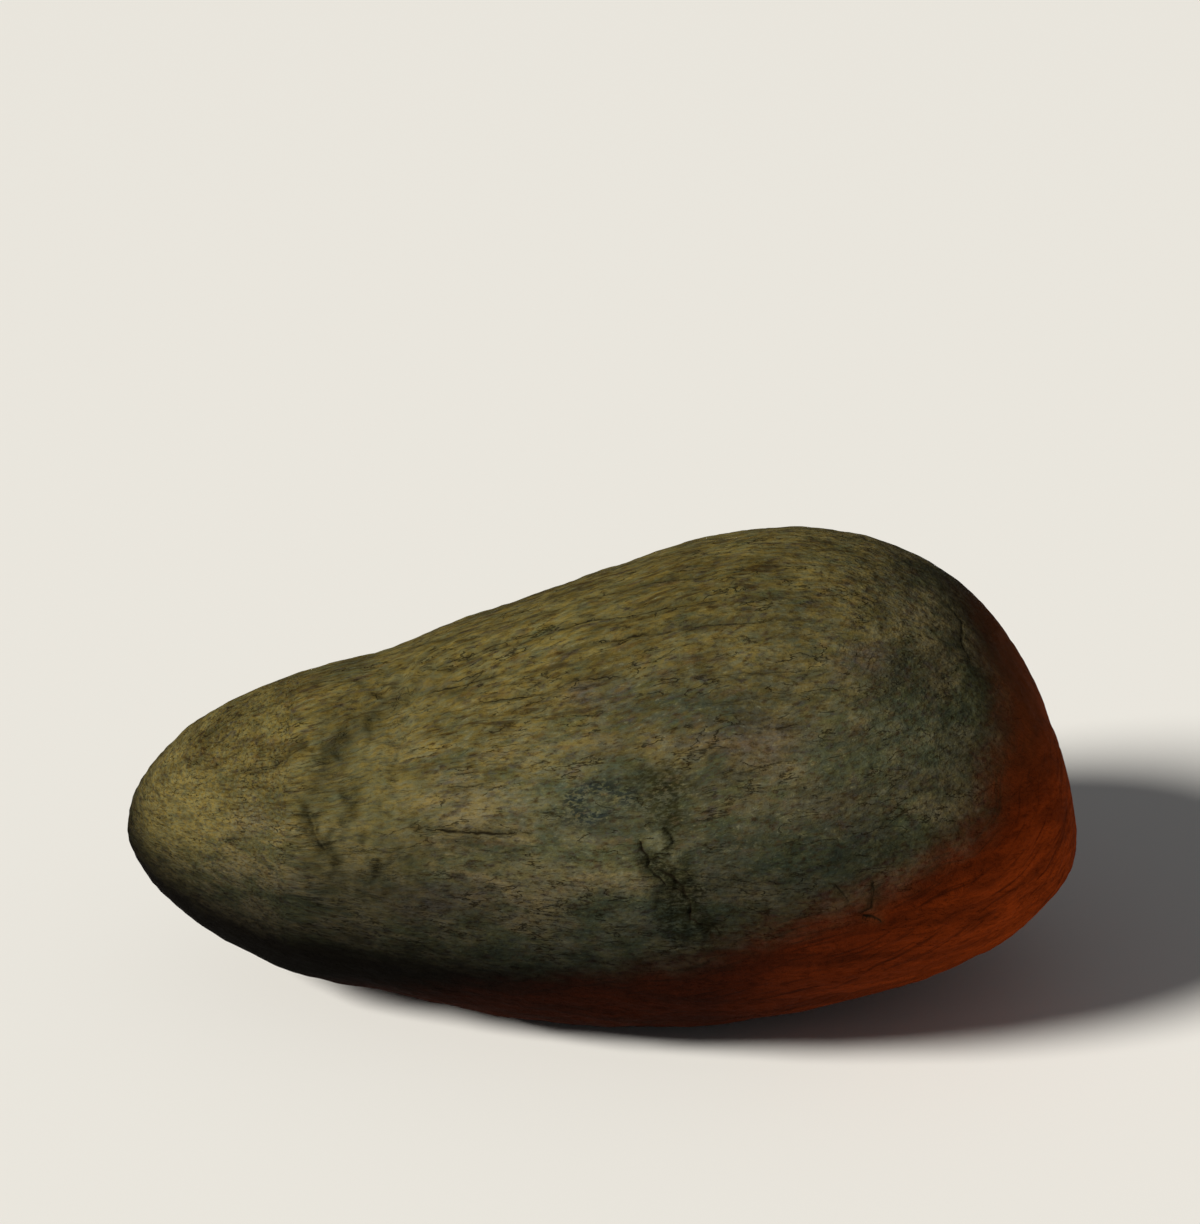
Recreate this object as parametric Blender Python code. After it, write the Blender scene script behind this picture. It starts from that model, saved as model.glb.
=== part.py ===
"""Boulder opal: one water-worn ironstone cobble, resting on its worn underside.

+X runs along the stone to its big end, +Y to the back, +Z up. The origin lies under the middle of the
stone, on the surface that it rests on. Metres throughout; MM turns the millimetres below into metres.

A place on the surface is given by how far it lies from the small end, in millimetres, and by its
angle round the stone, in degrees: 0 faces the front (-Y), 90 the top and -90 the underside.
"""

import math

import bmesh
import bpy
from mathutils import Vector, noise
from mathutils.bvhtree import BVHTree

MM = 0.001
OBJECT_NAME = "boulder_opal"
STONE_NAME = "stone"

LENGTH = 200 * MM
TIP_HEIGHT = 33.5 * MM
BIG_END_HEIGHT = 32 * MM

# Stations from the small end: (distance along, underside height, crest height, half depth), millimetres.
STATIONS = (
    (8, 18.7, 48.8, 18.7),
    (25, 8.7, 58.7, 32.4),
    (45, 2.8, 66.3, 41.1),
    (62, 0.5, 71.8, 45.6),
    (80, -3.3, 77.7, 51.7),
    (100, -4.7, 84.9, 57.2),
    (121, -3.5, 91.6, 60.5),
    (142, 0, 94.2, 61),
    (163, 4.9, 89.2, 56.4),
    (180, 11.2, 78.6, 46.3),
    (192, 20.4, 62.4, 31.7),
)

# Exponent of the sections: 2 is an ellipse, more is boxier.
BOXINESS = 2.12

# Slow unevenness of the worn surface: (height, distance between lumps).
LUMPS = ((1.3 * MM, 40 * MM), (0.45 * MM, 14 * MM))

# The waist: a shallow trough across the front, wider on its left side than on its right, in millimetres.
WAIST_ALONG = 51
WAIST_LEFT = 11
WAIST_RIGHT = 9
WAIST_DEPTH = 1.7 * MM

# How far it leans towards the big end over the top and at the underside, in millimetres, the angle
# where it is deepest, and the share of its depth that is left at the back.
WAIST_TOP_LEAN = 6
WAIST_UNDER_LEAN = 4
WAIST_DEEPEST_ANGLE = 35
WAIST_BACK_SHARE = 0.1

# Rough, knobbly ground: (distance along, angle, half length, half angle, height, spacing of the knobs).
ROUGH_PATCHES = (
    (51, 44, 12, 34, 1.3 * MM, 5 * MM),
    (113, 22, 8, 22, 0.9 * MM, 4.5 * MM),
)

# Single swellings and pits: (distance along, angle, radius, height), millimetres.
MOUNDS = (
    (194, -6, 15, 0.5),
    (191, 46, 18, 1.5),
    (57, -24, 14, 0.8),
    (111, 20, 3.6, 0.9),
    (44.5, 28, 3, -1.2),
    (47.5, 19, 3, -1),
    (59, 14, 3.6, -1.1),
    (49, 58, 3.4, -0.9),
)

# A shell-shaped flake lost beside the fissure: (distance along, angle, radius, depth), millimetres.
FLAKE = (115.5, 6, 7, 1.3)

# How unevenly the rims of the mounds, pits and the flake run, and over what distance.
RIM_WANDER = 0.45
RIM_SPACING = 6 * MM

# Cracks and grooves: (half width in millimetres, wander in millimetres, places along it).
CRACKS = (
    (0.8, 0.5, ((108, 21), (108.5, 17), (110, 15.5), (109.5, 13), (111, 11), (113, 8))),
    (0.7, 0.5, ((109.5, 13), (114, 10), (116.5, 8), (117, 6), (120, 5.5))),
    (0.55, 0.5, ((117, 6), (117.5, 0), (120, -3), (124, -5))),
    (0.4, 0.4, ((152, 4), (151.5, -3), (149.5, -4.5))),
    (0.4, 0.4, ((168, 79), (172, 75), (172, 66), (174, 60))),
    (0.6, 0.4, ((65, 72), (56, 67), (47, 60))),
    (0.65, 0.5, ((42, 35), (44, 28), (47, 19), (54, 13))),
    (0.5, 0.3, ((77, 80), (99, 79), (124, 74))),
    (0.45, 0.3, ((104, 70), (122, 67), (132, 65))),
    (0.5, 0.3, ((63, 69), (82, 69))),
    (0.45, 0.3, ((76, 61), (90, 59), (105, 59))),
    (0.55, 0.3, ((64, 26), (75, 24), (86, 23))),
)
CRACK_STEP = 2.5 * MM
CRACK_WANDER_SPACING = 3
CRACK_TIP_SHARE = 0.35

# The worn seat blends into the flank over this height.
SEAT_BLEND = 1.5 * MM

# Grid lines of the surface along the length, depth and height.
GRID = (27, 18, 16)

# Where the grid is halved once more: (from, to) along and (from, to) in angle.
FINE_AREAS = (
    ((38, 66), (-30, 85)),
    ((40, 63), (8, 72)),
    ((103, 125), (-8, 38)),
    ((105, 123), (-4, 35)),
)

STONE_COLOUR = (0.15, 0.13, 0.055, 1)
STONE_ROUGHNESS = 0.85


def clear_scene():
    """Leaves an empty scene."""
    for old in list(bpy.data.objects):
        bpy.data.objects.remove(old, do_unlink=True)


def hermite(x, x0, x1, y0, y1, slope0, slope1):
    """A cubic from (x0, y0) to (x1, y1) with those end slopes."""
    span = x1 - x0
    t = (x - x0) / span
    return (
        (2 * t**3 - 3 * t**2 + 1) * y0
        + (t**3 - 2 * t**2 + t) * span * slope0
        + (-2 * t**3 + 3 * t**2) * y1
        + (t**3 - t**2) * span * slope1
    )


def smooth_curve(points):
    """A function that passes smoothly through these (x, y) points, in order of x."""
    xs = [p[0] for p in points]
    ys = [p[1] for p in points]
    steps = [(ys[i + 1] - ys[i]) / (xs[i + 1] - xs[i]) for i in range(len(xs) - 1)]
    slopes = [steps[0]] + [(a + b) / 2 for a, b in zip(steps, steps[1:])] + [steps[-1]]

    def value(x):
        x = min(max(x, xs[0]), xs[-1])
        i = max(k for k in range(len(xs) - 1) if xs[k] <= x)
        return hermite(x, xs[i], xs[i + 1], ys[i], ys[i + 1], slopes[i], slopes[i + 1])

    return value


def roundness(along):
    """How full an ellipsoid of the stone's length is at this distance from the small end, 0 to 1."""
    u = 2 * along / LENGTH - 1
    return math.sqrt(max(1 - u * u, 0))


def stone_profiles():
    """Centre height, half height and half depth along the stone, the last two divided by the roundness."""
    centre, half_height, half_depth = [], [], []
    for along, underside, crest, depth in STATIONS:
        x = along * MM
        centre.append((x, (underside + crest) / 2 * MM))
        half_height.append((x, (crest - underside) / 2 * MM / roundness(x)))
        half_depth.append((x, depth * MM / roundness(x)))
    centre = [(0, TIP_HEIGHT)] + centre + [(LENGTH, BIG_END_HEIGHT)]
    half_height = [(0, half_height[0][1])] + half_height + [(LENGTH, half_height[-1][1])]
    half_depth = [(0, half_depth[0][1])] + half_depth + [(LENGTH, half_depth[-1][1])]
    return smooth_curve(centre), smooth_curve(half_height), smooth_curve(half_depth)


def place_on_ball(along, angle):
    """The point of the unit ball that stands for a place on the stone."""
    u = 2 * along * MM / LENGTH - 1
    r = roundness(along * MM)
    turn = math.radians(angle)
    return Vector((u, -r * math.cos(turn), r * math.sin(turn)))


def ball_place(point):
    """The distance from the small end in millimetres and the angle, for a point of the unit ball."""
    along = (point.x + 1) / 2 * LENGTH / MM
    angle = math.degrees(math.atan2(point.z, -point.y))
    return along, angle


def base_point(point, profiles):
    """Where a point of the unit ball lies on the plain stone."""
    centre, half_height, half_depth = profiles
    u, v, w = point
    along = (u + 1) / 2 * LENGTH
    r = math.hypot(v, w)
    swell = 1
    if r > 0:
        swell = (abs(v / r) ** BOXINESS + abs(w / r) ** BOXINESS) ** (-1 / BOXINESS)
    y = v * swell * half_depth(along)
    z = centre(along) + w * swell * half_height(along)
    return Vector((along - LENGTH / 2, y, z))


def placed(patch, profiles):
    """The middle, radius and height of a round patch, in metres."""
    along, angle, radius, height = patch
    middle = base_point(place_on_ball(along, angle), profiles)
    return middle, radius * MM, height * MM


def dome(share):
    """A soft mound: 1 in the middle, 0 from share 1 on."""
    return max(1 - share * share, 0) ** 2


def waist_depth(along, angle):
    """How deep the waist trough is at this place. It is deepest at the front and leans over the top."""
    turn = math.radians(angle)
    upward = max(math.sin(turn), 0)
    downward = max(-math.sin(turn), 0)
    offset = along - WAIST_ALONG - WAIST_TOP_LEAN * upward**4 - WAIST_UNDER_LEAN * downward**2
    share = offset / (WAIST_LEFT if offset < 0 else WAIST_RIGHT)
    facing = (1 + math.cos(turn - math.radians(WAIST_DEEPEST_ANGLE))) / 2
    depth_share = WAIST_BACK_SHARE + (1 - WAIST_BACK_SHARE) * facing**2
    return WAIST_DEPTH * depth_share * dome(share)


def rough_ground(point, along, angle):
    """The knobbly relief at this place, nothing outside the rough patches."""
    height = 0
    for patch_along, patch_angle, half_length, half_angle, relief, spacing in ROUGH_PATCHES:
        share = math.hypot((along - patch_along) / half_length, (angle - patch_angle) / half_angle)
        height += relief * dome(share) * noise.noise(point / spacing)
    return height


def surface_height(point, ball_point):
    """How far the worn surface stands out of the plain stone here."""
    along, angle = ball_place(ball_point)
    height = rough_ground(point, along, angle) - waist_depth(along, angle)
    for lump, spacing in LUMPS:
        height += lump * noise.noise(point / spacing)
    return height


def rim_share(point, middle, radius):
    """How far out a point lies in an uneven round patch: 0 in its middle, 1 at its rim."""
    wander = 1 + RIM_WANDER * noise.noise(point / RIM_SPACING)
    return (point - middle).length / radius * wander


def local_relief(point, mounds, flake):
    """The height of the single swellings and pits and of the flake scar at a point of the stone."""
    height = 0
    for middle, radius, rise in mounds:
        height += rise * dome(rim_share(point, middle, radius))
    middle, radius, depth = flake
    share = rim_share(point, middle, radius)
    return height - depth * max(1 - share * share, 0)


def worn_flat(height):
    """Presses what lies below the resting plane up onto it, with a soft edge."""
    if height >= SEAT_BLEND:
        return height
    if height <= -SEAT_BLEND:
        return 0.0
    return (height + SEAT_BLEND) ** 2 / (4 * SEAT_BLEND)


def grid_ball():
    """A ball of quads, cut from a box with GRID cells along its sides."""
    bm = bmesh.new()
    bmesh.ops.create_cube(bm, size=2)
    for axis, cells in enumerate(GRID):
        along = [e for e in bm.edges if abs((e.verts[0].co - e.verts[1].co)[axis]) > 1e-6]
        bmesh.ops.subdivide_edges(bm, edges=along, cuts=cells - 1, use_grid_fill=True)
    for vert in bm.verts:
        spread = Vector([math.tan(c * math.pi / 4) for c in vert.co])
        vert.co = spread.normalized()
    return bm


def refine(bm, along_range, angle_range):
    """Halves the grid where the surface needs finer forms."""
    edges = set()
    for face in bm.faces:
        along, angle = ball_place(face.calc_center_median())
        if along_range[0] < along < along_range[1] and angle_range[0] < angle < angle_range[1]:
            edges.update(face.edges)
    bmesh.ops.subdivide_edges(bm, edges=list(edges), cuts=1, use_grid_fill=True)
    for vert in bm.verts:
        vert.co.normalize()


def centre_on_origin(bm):
    """Puts the middle of the stone's length and depth over the origin."""
    xs = [v.co.x for v in bm.verts]
    ys = [v.co.y for v in bm.verts]
    shift = Vector((-(min(xs) + max(xs)) / 2, -(min(ys) + max(ys)) / 2, 0))
    bmesh.ops.translate(bm, verts=bm.verts, vec=shift)


def build_stone_mesh(profiles):
    """The stone as one closed mesh, before the cracks are cut."""
    bm = grid_ball()
    for along_range, angle_range in FINE_AREAS:
        refine(bm, along_range, angle_range)
    ball = [vert.co.copy() for vert in bm.verts]
    for vert, place in zip(bm.verts, ball):
        vert.co = base_point(place, profiles)
    bmesh.ops.recalc_face_normals(bm, faces=bm.faces)
    bm.normal_update()
    mounds = [placed(mound, profiles) for mound in MOUNDS]
    flake = placed(FLAKE, profiles)
    for vert, place in zip(bm.verts, ball):
        height = surface_height(vert.co, place) + local_relief(vert.co, mounds, flake)
        vert.co += vert.normal * height
    for vert in bm.verts:
        vert.co.z = worn_flat(vert.co.z)
    centre_on_origin(bm)
    bmesh.ops.triangulate(bm, faces=bm.faces, quad_method="SHORT_EDGE", ngon_method="BEAUTY")
    mesh = bpy.data.meshes.new(STONE_NAME)
    bm.to_mesh(mesh)
    bm.free()
    return mesh


def surface_point(tree, profiles, along, angle):
    """The point of the stone's surface at this place."""
    outside = base_point(place_on_ball(along, angle), profiles)
    middle = Vector((outside.x, 0, profiles[0](along * MM)))
    return tree.ray_cast(middle, outside - middle)[0]


def crack_path(tree, profiles, places, wander, seed):
    """Closely spaced points on the surface along a crack, wandering a little sideways."""
    path = []
    for (along0, angle0), (along1, angle1) in zip(places, places[1:]):
        start = surface_point(tree, profiles, along0, angle0)
        end = surface_point(tree, profiles, along1, angle1)
        count = max(round((end - start).length / CRACK_STEP), 1)
        for i in range(count):
            share = i / count
            along = along0 + (along1 - along0) * share
            angle = angle0 + (angle1 - angle0) * share
            jog = wander * noise.noise(Vector((along, angle, seed)) / CRACK_WANDER_SPACING)
            path.append(surface_point(tree, profiles, along + jog, angle + jog))
    path.append(surface_point(tree, profiles, *places[-1]))
    return path


def crack_cutter(name, path, half_width):
    """A closed, tapered wire along the path, as a mesh that can cut the stone."""
    curve = bpy.data.curves.new(name, "CURVE")
    curve.dimensions = "3D"
    curve.bevel_depth = half_width
    curve.bevel_resolution = 0
    curve.use_fill_caps = True
    spline = curve.splines.new("POLY")
    spline.points.add(len(path) - 1)
    for i, point in enumerate(path):
        spline.points[i].co = (*point, 1)
        middle_share = math.sin(math.pi * i / (len(path) - 1))
        spline.points[i].radius = CRACK_TIP_SHARE + (1 - CRACK_TIP_SHARE) * middle_share
    wire = bpy.data.objects.new(name, curve)
    bpy.context.scene.collection.objects.link(wire)
    bpy.context.view_layer.update()
    evaluated = wire.evaluated_get(bpy.context.evaluated_depsgraph_get())
    mesh = bpy.data.meshes.new_from_object(evaluated)
    bpy.data.objects.remove(wire, do_unlink=True)
    bm = bmesh.new()
    bm.from_mesh(mesh)
    bmesh.ops.remove_doubles(bm, verts=bm.verts, dist=0.00001)
    bmesh.ops.recalc_face_normals(bm, faces=bm.faces)
    bm.to_mesh(mesh)
    bm.free()
    cutter = bpy.data.objects.new(name, mesh)
    cutter.hide_render = True
    cutter.display_type = "WIRE"
    return cutter


def stone_material():
    """Worn, matt, olive-tan stone."""
    material = bpy.data.materials.new(STONE_NAME)
    material.use_nodes = True
    shader = material.node_tree.nodes["Principled BSDF"]
    shader.inputs["Base Color"].default_value = STONE_COLOUR
    shader.inputs["Roughness"].default_value = STONE_ROUGHNESS
    shader.inputs["Metallic"].default_value = 0
    return material


def new_collection(name):
    """A collection of that name in the scene."""
    collection = bpy.data.collections.new(name)
    bpy.context.scene.collection.children.link(collection)
    return collection


def cut_crack(stone, cutter):
    """Cuts one crack out of the stone."""
    cut = stone.modifiers.new(cutter.name, "BOOLEAN")
    cut.operation = "DIFFERENCE"
    cut.solver = "EXACT"
    cut.object = cutter


def main():
    clear_scene()
    parts = new_collection(OBJECT_NAME)
    cutters = new_collection("cutters")
    profiles = stone_profiles()
    mesh = build_stone_mesh(profiles)
    mesh.materials.append(stone_material())
    mesh.shade_smooth()
    stone = bpy.data.objects.new(STONE_NAME, mesh)
    parts.objects.link(stone)
    tree = BVHTree.FromPolygons([v.co for v in mesh.vertices], [p.vertices for p in mesh.polygons])
    for number, (half_width, wander, places) in enumerate(CRACKS):
        path = crack_path(tree, profiles, places, wander, number)
        cutter = crack_cutter(f"crack_{number}", path, half_width * MM)
        cutters.objects.link(cutter)
        cut_crack(stone, cutter)


main()
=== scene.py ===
"""Boulder opal: the worn stone with its fine relief and its skin, on a pale floor in soft studio light."""

import math

import bmesh
import bpy
import numpy as np
from mathutils import Matrix, Vector, noise
from mathutils.bvhtree import BVHTree


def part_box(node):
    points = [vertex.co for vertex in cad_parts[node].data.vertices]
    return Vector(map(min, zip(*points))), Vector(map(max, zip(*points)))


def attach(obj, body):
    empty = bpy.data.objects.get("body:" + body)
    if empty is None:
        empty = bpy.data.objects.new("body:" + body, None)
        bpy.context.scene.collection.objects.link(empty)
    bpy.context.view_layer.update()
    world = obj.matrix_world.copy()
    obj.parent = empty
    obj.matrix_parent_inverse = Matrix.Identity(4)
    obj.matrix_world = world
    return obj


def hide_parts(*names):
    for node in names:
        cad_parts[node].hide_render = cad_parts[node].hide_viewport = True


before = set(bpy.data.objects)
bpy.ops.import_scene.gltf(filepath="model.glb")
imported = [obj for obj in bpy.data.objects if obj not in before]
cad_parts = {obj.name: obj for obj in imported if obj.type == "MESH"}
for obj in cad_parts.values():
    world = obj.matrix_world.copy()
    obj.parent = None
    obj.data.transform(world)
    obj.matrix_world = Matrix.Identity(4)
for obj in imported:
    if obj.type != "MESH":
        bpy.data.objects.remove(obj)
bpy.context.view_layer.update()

MM = 0.001

# The camera looks along +Y and down. AIM is the point of the stone that appears at pixel AIM_PIXEL.
IMAGE = (1200, 1224)
LENS = 85
SENSOR = 36
FOCAL_PX = LENS / SENSOR * max(IMAGE)
ELEVATION = 25
DISTANCE = 0.607
AIM = Vector((0.0002, 0, 0.0439))
AIM_PIXEL = (600, 775.5)

# Cells of the fine surface along the length, depth and height.
CELLS = (146, 98, 86)

# Places that need a finer surface, as boxes in millimetres: lowest and highest corner.
FINE_BOXES = (
    ((-65, -52, 36), (-36, -4, 76)),
    ((3, -70, 38), (26, -40, 72)),
)

# Cracks as pixels: (half width, depth in millimetres, darkness of the line and of the painted shade in its
# dip, pixels along it).
CRACKS = (
    (0.3, 0.6, 0.98, ((639, 838), (642, 851), (648, 856), (649, 863), (647, 868), (653, 873), (665, 886))),
    (0.3, 0.5, 0.98, ((648, 867), (662, 872), (673, 878), (679, 885), (684, 888), (683, 894), (695, 894))),
    (0.27, 0.45, 0.9, ((665, 886), (676, 889), (683, 893), (690, 905), (690, 919), (703, 926), (720, 934))),
    (0.26, 0.4, 0.6, ((662, 828), (670, 834), (674, 843), (664, 850))),
    (0.2, 0.3, 0.6, ((674, 868), (686, 872), (690, 880), (697, 889), (696, 897))),
    (0.3, 0.45, 0.95, ((874, 882), (873, 895), (872, 907), (861, 914))),
    (0.3, 0.4, 0.95, ((834, 883), (841, 891), (848, 900))),
    (0.32, 0.4, 0.95, ((864, 915), (873, 917), (883, 921))),
    (0.26, 0.35, 0.6, ((944, 601), (961, 620), (963, 643), (971, 662))),
    (0.25, 0.3, 0.35, ((306, 812), (311, 820), (314, 834), (329, 855), (345, 862))),
    (0.38, 0.45, 1, ((486, 650), (540, 634), (592, 619), (627, 615), (655, 608), (716, 600))),
    (0.34, 0.45, 1, ((600, 641), (620, 638), (642, 632), (665, 630), (709, 622), (760, 621))),
    (0.3, 0.3, 0.9, ((419, 692), (460, 683), (504, 672))),
    (0.27, 0.3, 0.85, ((480, 702), (548, 691), (575, 680), (619, 675))),
    (0.36, 0.5, 0.95, ((424, 829), (450, 831), (470, 833), (486, 834), (512, 833))),
    (0.2, 0.25, 0.6, ((448, 787), (470, 786), (492, 782))),
    (0.26, 0.3, 0.8, ((196, 742), (236, 716), (285, 700))),
    (0.26, 0.3, 0.8, ((240, 772), (275, 763), (308, 745))),
    (0.2, 0.2, 0.5, ((560, 905), (600, 911), (634, 907))),
    (0.2, 0.2, 0.4, ((690, 705), (735, 700), (790, 688))),
    (0.3, 0.3, 0.9, ((540, 614), (590, 597), (650, 582), (700, 576))),
    (0.3, 0.3, 0.9, ((430, 668), (480, 649), (530, 629))),
    (0.2, 0.2, 0.5, ((705, 676), (745, 673), (800, 670), (836, 668))),
    (0.2, 0.25, 0.7, ((700, 750), (714, 747), (727, 747))),
    (0.24, 0.3, 0.7, ((775, 728), (786, 725), (798, 722))),
    (0.2, 0.2, 0.5, ((720, 779), (760, 767), (800, 758))),
)
CRACK_STEP_PX = 5
CRACK_JOG = 0.45 * MM
JOG_SPACING = 1.3 * MM

# Points this much further from the middle of a path than it is long take no notice of it.
PATH_REACH = 25 * MM

# Across a crack, in half widths: its cut, the soft dip that it lies in, and the band that may be coloured.
CRACK_CUT = 1.6
CRACK_DIP = 9
CRACK_BAND = 3

# How dark the painted shade is in the middle of a pit, and in the dip of the darkest crack.
HOLLOW_DARKNESS = 0.35

# Soft creases as pixels: (reach to each side and depth in millimetres, darkness of the painted shade in
# them, pixels along it).
CREASES = (
    (2.4, 0.7, 0.5, ((412, 827), (446, 831), (486, 835), (528, 834))),
    (1.8, 0.5, 0.35, ((470, 655), (540, 634), (592, 619), (655, 606), (725, 597))),
    (1.8, 0.5, 0.35, ((560, 652), (620, 638), (665, 629), (709, 621), (770, 618))),
    (1.8, 0.4, 0.3, ((540, 612), (590, 596), (650, 581), (710, 573))),
    (1.6, 0.4, 0.3, ((412, 694), (460, 683), (512, 670))),
    (1.6, 0.4, 0.3, ((425, 668), (480, 649), (535, 627))),
    (1.6, 0.4, 0.25, ((470, 704), (548, 691), (625, 674))),
    (2.8, 0.45, 0.45, ((304, 800), (309, 818), (318, 838), (340, 860))),
    (1.8, 0.3, 0.25, ((785, 655), (820, 650), (862, 655))),
    (2.2, 0.3, 0.25, ((690, 703), (740, 699), (795, 687))),
)

# Pits as pixels: (pixel, radius and depth in millimetres).
PITS = (
    ((312, 821), 1.6, 0.5),
    ((380, 873), 2.6, 0.8),
    ((412, 862), 1.8, 0.5),
    ((343, 792), 1.3, 0.5),
    ((333, 831), 1.4, 0.5),
    ((362, 838), 1.3, 0.4),
    ((388, 812), 1.5, 0.4),
)

# The worn surface: lumps as (height and spacing in millimetres, seed), and ridges along the grain as (height
# low on the stone and what is added on top in millimetres, spacing in steps of the grain, seed).
LUMPS = ((0.38, 10, 0), (0.23, 4.5, 1), (0.14, 2.2, 13))
RIDGES = ((0.06, 0.2, 2.6, 2), (0.03, 0.12, 1.3, 4))
FURROW_WIDTH = 0.05
FURROW_DEPTH = 0.25
# How dark the painted shade in a furrow is.
FURROW_DARKNESS = 0.4

# The grain, in millimetres: how long and deep one step of it is, from where the tip has shorter grain and
# how long that is, and the crest that the grain leans up with.
GRAIN_LENGTH = 12
GRAIN_DEPTH = 3.2
TIP_X = -62
TIP_GRAIN_LENGTH = 9
TOP_STRETCH = 0.3
CREST_X = 25
CREST_Z = 94
CREST_SLOPE = 0.34
LEVEL_Z = 32

# The top of the stone, where the grain is long and the colour warm, starts higher towards the big end: by
# LEAN millimetres for each one along.
LONG_GRAIN_Z = (40, 85)
LEAN = 0.35

# Seeds of the jogs of the paths. The paths of a table count up from its seed, and the cracks from 0.
EDGE_SEED = 50
BAND_SEED = 51
TROUGH_SEED = 52
MIDDLE_SEED = 53
CREASE_SEED = 70

# Edges of the waist as pixels, from which the ground drops to the right and then comes back up:
# (drop, length of the drop and of the rise in millimetres, pixels along the edge).
WAIST_EDGES = (
    (1.8, 3.2, 7, ((440, 676), (378, 712), (345, 732), (322, 764), (310, 808), (326, 846), (360, 872))),
    (0.9, 1.6, 4, ((404, 700), (398, 745), (388, 790), (392, 830), (382, 866))),
)
WAIST_TROUGH = ((412, 688), (380, 711), (355, 730), (333, 747), (320, 775), (311, 800))
WAIST_MIDDLE = ((400, 700), (368, 745), (352, 790), (356, 835), (376, 866))
WAIST_REACH = 15
TROUGH_REACH = 3.6
# How dark the painted shade in the waist's trough is.
TROUGH_DARKNESS = 0.3

# The damp-looking dark band through the fissure, as pixels, and its reach to each side in millimetres.
MOSS_BAND = ((644, 776), (664, 786), (669, 812), (668, 840), (652, 862), (682, 888), (692, 915), (712, 934))
MOSS_REACH = 3.6
MOSS_PATCHES = (
    ((664, 795), (34, 37)),
    ((684, 912), (30, 54)),
)

# Soft patches of the skin as pixels: (pixel, reach to the side and upwards in pixels). PATCH_KINDS gives
# (attribute, patches, spacing of their uneven edges in millimetres, seed).
GREEN_PATCHES = (
    ((585, 805), (110, 55)),
    ((640, 925), (120, 45)),
    ((790, 850), (160, 60)),
    ((910, 735), (90, 70)),
    ((540, 960), (120, 26)),
    ((690, 706), (75, 26)),
)
BEIGE_PATCHES = (
    ((250, 822), (26, 18)),
    ((600, 745), (24, 42)),
    ((598, 772), (52, 12)),
    ((470, 798), (70, 24)),
    ((446, 780), (30, 18)),
    ((550, 880), (90, 22)),
    ((600, 700), (60, 16)),
    ((918, 600), (70, 56)),
)
MAUVE_PATCHES = (
    ((738, 738), (80, 34)),
    ((838, 815), (45, 34)),
    ((720, 850), (40, 30)),
    ((600, 690), (50, 14)),
    ((870, 660), (50, 22)),
    ((430, 900), (80, 26)),
)
# Partly darker stone and partly painted shade, where the skin is turned from the key light.
DARK_PATCHES = (
    ((715, 700), (125, 66)),
    ((702, 800), (95, 88)),
    ((795, 815), (110, 66)),
    ((905, 680), (44, 48)),
    ((405, 845), (36, 28)),
)
# Partly darker stone and partly painted shade, such as along the shaded upper right rim and in the trough,
# pits and creases.
DEEP_PATCHES = (
    ((912, 668), (50, 38)),
    ((722, 778), (50, 28)),
    ((850, 742), (32, 24)),
    ((915, 573), (74, 26)),
    ((706, 622), (40, 14)),
    ((470, 845), (60, 10)),
    ((380, 873), (22, 14)),
    ((345, 668), (40, 22)),
    ((770, 612), (62, 36)),
    ((950, 655), (24, 40)),
    ((905, 780), (44, 20)),
    ((620, 824), (130, 14)),
    ((338, 752), (24, 15)),
)
BLUE_PATCHES = (
    ((574, 798), (20, 13)),
    ((600, 788), (32, 11)),
    ((626, 796), (20, 14)),
    ((589, 816), (36, 13)),
)
# Painted light: the tip where the key light falls on the small end.
LIT_TIP_PATCHES = (((172, 808), (70, 66)),)
PALE_PATCHES = (((655, 840), (12, 12)),)
PATCH_KINDS = (
    ("green", GREEN_PATCHES, 12, 30),
    ("beige", BEIGE_PATCHES, 7, 31),
    ("mauve", MAUVE_PATCHES, 7, 36),
    ("shade", DARK_PATCHES, 15, 35),
    ("deep", DEEP_PATCHES, 5, 38),
    ("blue", BLUE_PATCHES, 4, 32),
    ("warm", LIT_TIP_PATCHES, 8, 37),
    ("pale", PALE_PATCHES, 3, 34),
)

# The painted red light lies beyond the first plane and the painted black shade of the underside beyond the
# second, in
# millimetres: (normal, offset). Both are mirrored to the back of the stone, with a round turn.
RED_LIGHT_PLANE = ((0.394, 0.359, -0.846), 41.6)
UNDERSIDE_SHADE_PLANE = ((0.1, 0.359, -0.846), 42.4)
MIRROR_Y = 4
MIRROR_ROUND = 8

# The streaks in the painted red light run along its edge, in millimetres.
STREAK_WIDTH = 1.1
STREAK_LENGTH = 14

# Where the edge of the painted red light leaves its plane, as pixels: (pixel, reach to the side and upwards
# in pixels), and by how many millimetres.
RED_LIGHT_BULGES = (
    (((770, 930), (115, 70)), 2.3),
    (((990, 830), (88, 62)), -4.2),
)

# The skin darkens with painted half shade before it gets to the planes: (place along the stone, where the
# darkening starts and ends before the plane, all in millimetres, and its strength).
HALF_SHADE_STATIONS = (
    (-95, -13, 0, 0.8),
    (-85, -15, 0, 0.85),
    (-73, -17, -4, 0.9),
    (-52, -20, -10, 1),
    (-20, -26, -9, 0.95),
    (20, -24, -9, 0.97),
    (45, -20, -5, 0.9),
    (60, -15, 2, 0.8),
)

# Rounds of smoothing, the first of them also where the solid is detailed, and how far a point goes in each.
SMOOTH_ROUNDS = 60
FIRST_ROUNDS = 6
SMOOTH_SHARE = 0.5

# How close to a crack the surface is finer, in millimetres.
FINE_REACH = 1.3

# The key light: the direction that it comes from, its strength, its spread in degrees and its colour.
KEY_FROM = (-0.72, -0.42, 0.56)
KEY_STRENGTH = 5
KEY_SPREAD = 16
KEY_COLOUR = (1, 0.96, 0.88)
SURROUND_STRENGTH = 0.12

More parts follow.
